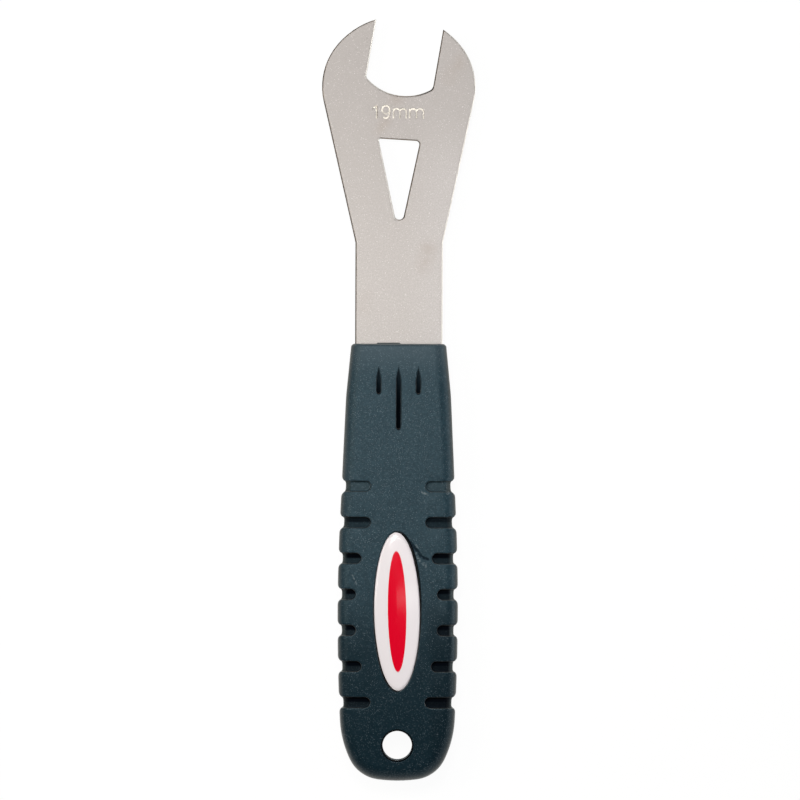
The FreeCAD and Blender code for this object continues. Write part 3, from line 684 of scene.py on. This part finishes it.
# %% Crown of the grip
CROWN_START = -45.0
CROWN_RADIUS = 420.0
rubber = Finish("grip_rubber", (0.006, 0.016, 0.021), 0.5)
x_mm, y_mm, z_mm = rubber.millimetres()
tailward = rubber.math("MAXIMUM", rubber.math("SUBTRACT", CROWN_START, y_mm), 0.0)
crown = rubber.product(tailward, tailward, -0.5 / CROWN_RADIUS)
crown_normal = rubber.bump(crown, MM)

# %% [markdown]
# The mould left the rubber finely mottled, so two dark tones are mixed by a noise. Near the
# mouth and along the left edge painted light makes it paler, and painted shade makes the tail
# darker, most of all at its right.

# %% Rubber colour
MOTTLE_DARK = (0.0025, 0.012, 0.0185)
MOTTLE_PALE = (0.0075, 0.022, 0.031)
LIT_SLATE = (0.02, 0.033, 0.042)
SHADED_SLATE = (0.0005, 0.006, 0.01)
mottle = rubber.ramp(rubber.noise(1300, 4.0, 0.75), 0.35, 0.65)
rubber_colour = rubber.mix(mottle, MOTTLE_DARK, MOTTLE_PALE)
# Painted light: paler near the mouth and along the upper left edge.
left_edge = rubber.ramp(x_mm, -15.0, -13.0, 0.9, 0.0)
left_edge = rubber.product(left_edge, rubber.ramp(y_mm, -42.0, -15.0))
painted_light = rubber.strongest(rubber.ramp(y_mm, 4.0, 17.0), left_edge)
rubber_colour = rubber.mix(painted_light, rubber_colour, LIT_SLATE)
# Painted shade: darker towards the tail, most of all at its right.
right_tail_shade = rubber.ramp(y_mm, -66.0, -48.0, 0.9, 0.0)
right_tail_shade = rubber.product(right_tail_shade, rubber.ramp(x_mm, 4.0, 11.5))
tail_shade = rubber.strongest(rubber.ramp(y_mm, -72.0, -50.0, 0.62, 0.0), right_tail_shade)
rubber_colour = rubber.mix(tail_shade, rubber_colour, SHADED_SLATE)

# %% [markdown]
# The side walls are a greyer tone. At the mouth, a thin pale line of painted light lies along
# the top edge. Pale dust sits all over the skin as fine specks.

# %% Flanks, lip and dust
FLANK_GREY = (0.022, 0.024, 0.018)
MOUTH_EDGE_LIGHT = (0.16, 0.165, 0.155)
DUST = (0.2, 0.24, 0.27)
flank = rubber.ramp(z_mm, 9.3, 11.4, 0.7, 0.0)
flank = rubber.product(flank, rubber.ramp(z_mm, 6.0, 8.0))
rubber_colour = rubber.mix(flank, rubber_colour, FLANK_GREY)
# Painted light: a pale line along the top edge of the mouth.
lip = rubber.product(rubber.ramp(y_mm, 15.3, 16.05), rubber.ramp(z_mm, 11.0, 11.6))
rubber_colour = rubber.mix(lip, rubber_colour, MOUTH_EDGE_LIGHT)
dust = rubber.group(SPECKS, Scale=3700.0, Share=0.42, Size=0.45)
rubber_colour = rubber.mix(rubber.product(dust, 0.65), rubber_colour, DUST)
print("rubber has", len(rubber.tree.nodes), "nodes so far")

# %% [markdown]
# Three grooves run back from the mouth. Each gets painted shade from a stroke along it, which
# starts narrow and faint, as the groove does, and widens as the groove gets deeper. Nothing below
# the middle of the grip's thickness is darkened.

# %% Shade in the grooves
GRIP_MIDDLE = 0.28
GROOVES = ((-5.58, 9.6, 2.1), (0.0, 9.6, -7.9), (5.58, 9.6, 2.1))
GROOVE_HALF_WIDTH = 0.8
GROOVE_FADE = 0.3
upper = rubber.ramp(z_mm, 7.0, 8.0)
# Painted shade: a dark stroke along each groove.
grooves = [
    rubber.stroke((x + GRIP_MIDDLE, top), (x + GRIP_MIDDLE, foot), GROOVE_HALF_WIDTH)
    for x, top, foot in GROOVES
]
narrowing = rubber.ramp(y_mm, 5.5, 10.0, 0.1, 0.88, smooth=False)
painted_shade = rubber.math("SUBTRACT", rubber.strongest(*grooves), narrowing)
painted_shade = rubber.math("DIVIDE", painted_shade, GROOVE_FADE)
painted_shade = rubber.math("MINIMUM", rubber.math("MAXIMUM", painted_shade, 0.0), 1.0)
painted_shade = rubber.product(painted_shade, rubber.ramp(y_mm, -2.0, 9.6, 0.95, 0.6), upper)
print(len(grooves), "grooves")

# %% [markdown]
# Shade is painted into the hollows. Below the top skin the slots are painted darker towards the
# tail, and darker still under their upper lips, where little light reaches. The slots repeat
# evenly, so the place of a point within its own pitch says how far it is from such a lip.

# %% Shade in the slots
SLOT_PITCH = 10.13
LAST_SLOT_FOOT = -86.64
x_away = rubber.math("ABSOLUTE", rubber.math("SUBTRACT", x_mm, GRIP_MIDDLE))
turns = rubber.math("DIVIDE", rubber.math("SUBTRACT", y_mm, LAST_SLOT_FOOT), SLOT_PITCH)
in_pitch = rubber.product(rubber.math("FRACT", turns), SLOT_PITCH)
in_slots = rubber.product(
    rubber.ramp(x_away, 7.2, 7.5),
    rubber.ramp(x_away, 14.2, 15.3, 1.0, 0.0),
    rubber.ramp(y_mm, -31.0, -23.0, 1.0, 0.0),
    rubber.ramp(in_pitch, 3.2, 3.6, 1.0, 0.0),
    rubber.ramp(y_mm, -88.0, -87.5),
)
deep = rubber.product(rubber.ramp(z_mm, 11.4, 11.85, 1.0, 0.0), upper)
# Painted shade: darker under each upper lip and towards the tail.
under_lip = rubber.ramp(in_pitch, 0.9, 1.9)
under_lip = rubber.product(under_lip, rubber.ramp(y_mm, -45.0, -22.0, 0.98, 0.6))
on_floor = rubber.ramp(y_mm, -85.0, -22.0, 0.86, 0.5)
on_floor = rubber.product(on_floor, rubber.ramp(x_mm, -8.0, 8.0, 0.8, 1.0))
slot_shade = rubber.product(rubber.strongest(under_lip, on_floor), in_slots, deep)

# %% [markdown]
# The gap round the badge and the rim of the hang hole get painted shade too. Both are ovals seen
# from above. A Mapping node moves, turns and scales an oval to a circle of radius 1, so the
# squared distance from its middle says on which side of the line a point lies.

# %% Ovals
def oval_mask(finish, middle, half, lean):
    """1 inside an oval seen from above and 0 outside it; all in metres and radians."""
    centring = finish.tree.nodes.new("ShaderNodeMapping")
    centring.vector_type = "TEXTURE"
    centring.inputs["Location"].default_value = (middle[0], middle[1], 0)
    centring.inputs["Rotation"].default_value = (0, 0, lean)
    centring.inputs["Scale"].default_value = (half[0], half[1], 1)
    finish.tree.links.new(finish.place, centring.inputs["Vector"])
    parts = finish.tree.nodes.new("ShaderNodeSeparateXYZ")
    finish.tree.links.new(centring.outputs["Vector"], parts.inputs[0])
    x_part, y_part = parts.outputs[0], parts.outputs[1]
    x_squared, y_squared = finish.product(x_part, x_part), finish.product(y_part, y_part)
    reach = finish.math("ADD", x_squared, y_squared)
    return finish.ramp(reach, 0.97, 1.03, 1.0, 0.0)


# %% [markdown]
# Painted shade has no gloss of its own. A metal of a nearly black colour reflects almost
# nothing, so the mask of all the hollows drives Metallic as well as the colour.

# %% Shade round the badge and the hole
GAP_HALF = (6.68, 22.5)
GAP_SHIFT = (0.2, -0.05)
GAP_LEAN = math.radians(-0.7)
HOLE_MIDDLE = (0.28, -97.24)
HOLE_RIM = 4.62
GAP_STRENGTH = 0.97
SHADE_BLACK = (0.0008, 0.0018, 0.004)
seat = [place + shift * MM for place, shift in zip(badge_middle, GAP_SHIFT)]
# Painted shade in the gap round the badge and on the rim of the hang hole.
round_badge = oval_mask(rubber, seat, mm(*GAP_HALF), GAP_LEAN)
round_hole = oval_mask(rubber, mm(*HOLE_MIDDLE), mm(HOLE_RIM, HOLE_RIM), 0)
gaps = rubber.product(rubber.strongest(round_badge, round_hole), GAP_STRENGTH)
painted_shade = rubber.strongest(painted_shade, slot_shade, gaps)
# All the painted shade is mixed into the rubber's colour here.
rubber_colour = rubber.mix(painted_shade, rubber_colour, SHADE_BLACK)
print("badge's gap centred at", [round(place / MM, 2) for place in seat], "mm")

# %% [markdown]
# Somebody has caught the grip on something sharp beside the badge. The tear is a crooked
# crease, sunk six hundredths of a millimetre with painted shade in its floor, with pale scuffs
# round it and a few more under the first slot. A noise keeps both from looking drawn.

# %% Wear on the rubber
CREASE = ((3.9, -40.2), (5.7, -42.4), (6.9, -44.1), (8.8, -44.9))
CREASE_WIDTH = 0.6
CREASE_DEPTH = 0.06
CREASE_SHADE = (0.0008, 0.003, 0.006)
SCUFF_PALE = (0.22, 0.25, 0.26)
SCUFFS = (
    ((5.4, -43.2), (6.4, -45.2), 0.5), ((7.5, -46.0), (8.0, -46.8), 0.6),
    ((5.3, -40.8), (5.8, -41.4), 0.35), ((7.0, -26.0), (8.6, -26.6), 0.45),
    ((14.0, -26.1), (14.3, -26.1), 0.6), ((-12.5, -49.3), (-11.2, -51.9), 0.25),
)


def strokes(rows):
    """The strongest of several strokes; each row gives its two ends and its width."""
    lines = [rubber.stroke(start, end, width) for start, end, width in rows]
    return rubber.product(rubber.strongest(*lines), upper)


crease = strokes([(a, b, CREASE_WIDTH) for a, b in zip(CREASE, CREASE[1:])])
crease = rubber.math("MINIMUM", rubber.product(crease, 1.6), 1.0)
torn = rubber.ramp(rubber.noise(1100, 2.0), 0.35, 0.55, 0.45, 1.0)
crease = rubber.product(crease, torn)
rubbed_off = rubber.ramp(rubber.noise(1500, 3.0, 0.7), 0.42, 0.6)
scuffed = rubber.product(strokes(SCUFFS), rubbed_off)
rubber_colour = rubber.mix(rubber.product(scuffed, 0.4), rubber_colour, SCUFF_PALE)
# Painted shade in the floor of the crease.
rubber_colour = rubber.mix(rubber.product(crease, 0.9), rubber_colour, CREASE_SHADE)
print(len(CREASE) - 1, "lines in the tear and", len(SCUFFS), "scuffs")

# %% [markdown]
# Last come the gloss and the fine relief. The tail is glossier than the rest and the painted
# shade is dull. Three bumps are chained, each on the normal of the one before: the crown, the
# crease and the grain of the skin. A trace of sheen gives the bloom that rubber has at its edges.

# %% Gloss and grain of the rubber
rubber.feed("Base Color", rubber_colour)
# The painted shade drives Metallic, so that it has no gloss.
rubber.feed("Metallic", rubber.strongest(painted_shade, rubber.product(crease, 0.8)))
rough = rubber.ramp(y_mm, -70.0, -45.0, 0.34, 0.5)
rubber.feed("Roughness", rubber.math("ADD", rough, rubber.product(painted_shade, 0.4)))
sunk = rubber.bump(rubber.product(crease, -CREASE_DEPTH), MM, normal=crown_normal)
skin_grain = rubber.noise(1800, 3.0, 0.6)
rubber.feed("Normal", rubber.bump(skin_grain, 0.03 * MM, 0.7, normal=sunk))
rubber.hold("Sheen Weight", 0.1)
rubber.hold("Sheen Roughness", 0.45)
rubber.hold("Sheen Tint", (1.0, 0.95, 0.88, 1))
rubber.hold("Specular IOR Level", 0.22)
rubber.hold("Specular Tint", (0.68, 0.9, 1.0, 1))
rubber.dress(grip)

# %% [markdown]
# The badge is a white print under clear resin, which is a white plastic with a coat. The print
# has one slim red oval in its middle and nothing else.

# %% Badge plastic
PRINT_WHITE = (0.568, 0.54, 0.558)
PRINT_RED = (0.5, 0.001, 0.014)
RED_OVAL_HALF = (2.6, 17.0)
gloss = Finish("badge_plastic", PRINT_WHITE, 0.35)
red_oval = oval_mask(gloss, badge_middle, mm(*RED_OVAL_HALF), BADGE_LEAN)
gloss.feed("Base Color", gloss.mix(red_oval, PRINT_WHITE, PRINT_RED))
gloss.hold("Specular IOR Level", 0.0)
gloss.hold("Coat Weight", 0.35)
gloss.hold("Coat Roughness", 0.13)
gloss.dress(badge)

# %% [markdown]
# The tool was photographed on white, from straight above and from far away. The floor is a
# plain white sheet that the camera sees at nearly full white with a trace of its own shading,
# so that a faint shadow stays under the tool.

# %% Floor
SEEN_SHARE = 0.96


def seen_rays(tree):
    """1 for rays from the camera, off gloss or through glass, and 0 for those that light things."""
    path = tree.nodes.new("ShaderNodeLightPath")
    first = math_node(tree, "MAXIMUM", path.outputs["Is Camera Ray"], path.outputs["Is Glossy Ray"])
    return math_node(tree, "MAXIMUM", first, path.outputs["Is Transmission Ray"])


bpy.ops.object.select_all(action="DESELECT")
bpy.ops.mesh.primitive_plane_add(size=6, location=(0, 0, 0))
floor = bpy.context.object
floor.name = "floor"
sheet = bpy.data.materials.new("white_sheet")
sheet.use_nodes = True
sheet_tree = sheet.node_tree
sheet_shader = sheet_tree.nodes["Principled BSDF"]
sheet_shader.inputs["Base Color"].default_value = (0.85, 0.85, 0.85, 1)
sheet_shader.inputs["Roughness"].default_value = 0.9
sheet_shader.inputs["Specular IOR Level"].default_value = 0.0
glow = sheet_tree.nodes.new("ShaderNodeEmission")
glow.inputs["Color"].default_value = (1, 1, 1, 1)
blend = sheet_tree.nodes.new("ShaderNodeMixShader")
seen = math_node(sheet_tree, "MULTIPLY", seen_rays(sheet_tree), SEEN_SHARE)
sheet_tree.links.new(seen, blend.inputs[0])
sheet_tree.links.new(sheet_shader.outputs[0], blend.inputs[1])
sheet_tree.links.new(glow.outputs[0], blend.inputs[2])
sheet_tree.links.new(blend.outputs[0], sheet_tree.nodes["Material Output"].inputs["Surface"])
floor.data.materials.append(sheet)
floor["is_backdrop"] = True
print("floor is", round(floor.dimensions.x, 1), "m wide")

# %% [markdown]
# The room is white near the horizon and dark overhead, and brighter towards the right than
# towards the left, as beside a window. It fills the shadows a little everywhere.

# %% Room
ROOM_FILL = 0.06
world = bpy.data.worlds.new("room")
bpy.context.scene.world = world
world.use_nodes = True
room_tree = world.node_tree
direction = room_tree.nodes.new("ShaderNodeTexCoord").outputs["Generated"]
split = room_tree.nodes.new("ShaderNodeSeparateXYZ")
room_tree.links.new(direction, split.inputs[0])
walls = ramp_node(room_tree, split.outputs[0], -0.8, 0.8, 0.05, 1.0)
overhead = ramp_node(room_tree, split.outputs[2], 0.3, 0.75, 1.0, 0.0)
room_light = math_node(room_tree, "MULTIPLY", walls, overhead)
room_light = math_node(room_tree, "ADD", room_light, ROOM_FILL)
room_tree.links.new(room_light, room_tree.nodes["Background"].inputs["Strength"])
room_tree.nodes["Background"].inputs["Color"].default_value = (1, 1, 1, 1)
print("room has", len(room_tree.nodes), "nodes")

# %% [markdown]
# One soft box hangs close above the tool, towards the head and a little to the left. It shades
# the upper walls of the slots and fades towards the tail. A warm panel at the left lifts the
# grip's left shoulder, and a slim strip at the right draws the long highlight on the badge. A
# low panel at the right brightens the edges that face it.

# %% Lights
WARM = (1.0, 0.93, 0.84)


def soft_box(name, place, target, width, length, power, colour=(1, 1, 1)):
    """A rectangular lamp at a place, aimed at a target; metres and watts."""
    lamp = bpy.data.lights.new(name, "AREA")
    lamp.shape = "RECTANGLE"
    lamp.size, lamp.size_y = width, length
    lamp.energy = power
    lamp.color = colour
    holder = bpy.data.objects.new(name, lamp)
    bpy.context.scene.collection.objects.link(holder)
    holder.location = place
    holder.rotation_euler = (Vector(target) - Vector(place)).to_track_quat("-Z", "Y").to_euler()
    holder.visible_camera = False
    print(name, "gives", power, "W")


soft_box("key_light", (-0.03, 0.09, 0.42), (0, 0, 0), 0.13, 0.13, 1.45)
soft_box("left_panel", (-0.32, 0.06, 0.38), (0, 0.0, 0), 0.24, 0.2, 1.7, WARM)
soft_box("right_strip", (0.14, -0.05, 0.42), (0, -0.05, 0), 0.016, 0.3, 0.12)
soft_box("right_rim", (0.45, 0.02, 0.07), (0, 0.02, 0.006), 0.3, 0.12, 0.6)

# %% [markdown]
# The camera stands 2.6 m above the tool, which keeps the far side of the hang hole's wall as
# thin as in the photograph. The tool leans a quarter of a degree to the right, so the camera
# turns by as much the other way round.

# %% Camera
CAMERA_HEIGHT = 2.6
CAMERA_TURN = math.radians(0.224)
PICTURE_WIDTH = 800
PIXELS_PER_MM = 3.55
SENSOR_WIDTH = 36
camera_data = bpy.data.cameras.new("camera")
camera = bpy.data.objects.new("camera", camera_data)
bpy.context.scene.collection.objects.link(camera)
bpy.context.scene.camera = camera
camera.location = (0.69 * MM, -0.03 * MM, CAMERA_HEIGHT)
camera.rotation_euler = (0, 0, CAMERA_TURN)
camera_data.sensor_width = SENSOR_WIDTH
view_width = PICTURE_WIDTH / PIXELS_PER_MM * MM
camera_data.lens = SENSOR_WIDTH * (CAMERA_HEIGHT - steel_top * MM) / view_width
camera_data.clip_end = 20
print("lens", round(camera_data.lens, 1), "mm")

# %% [markdown]
# The plain Standard view shows a colour about as it is written. The sizes of the imported model
# and of the dressed one are printed side by side, to show that nothing has grown past the
# imported model's box.

# %% Finish
bpy.context.scene.view_settings.view_transform = "Standard"
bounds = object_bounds()
rows = {
    "cad": [[float(v) for v in corner] for corner in cad_bounds],
    "visual": [[float(v) for v in corner] for corner in bounds],
}
for kind, corners in rows.items():
    print(kind, "box in mm", [[round(v / MM, 2) for v in corner] for corner in corners])
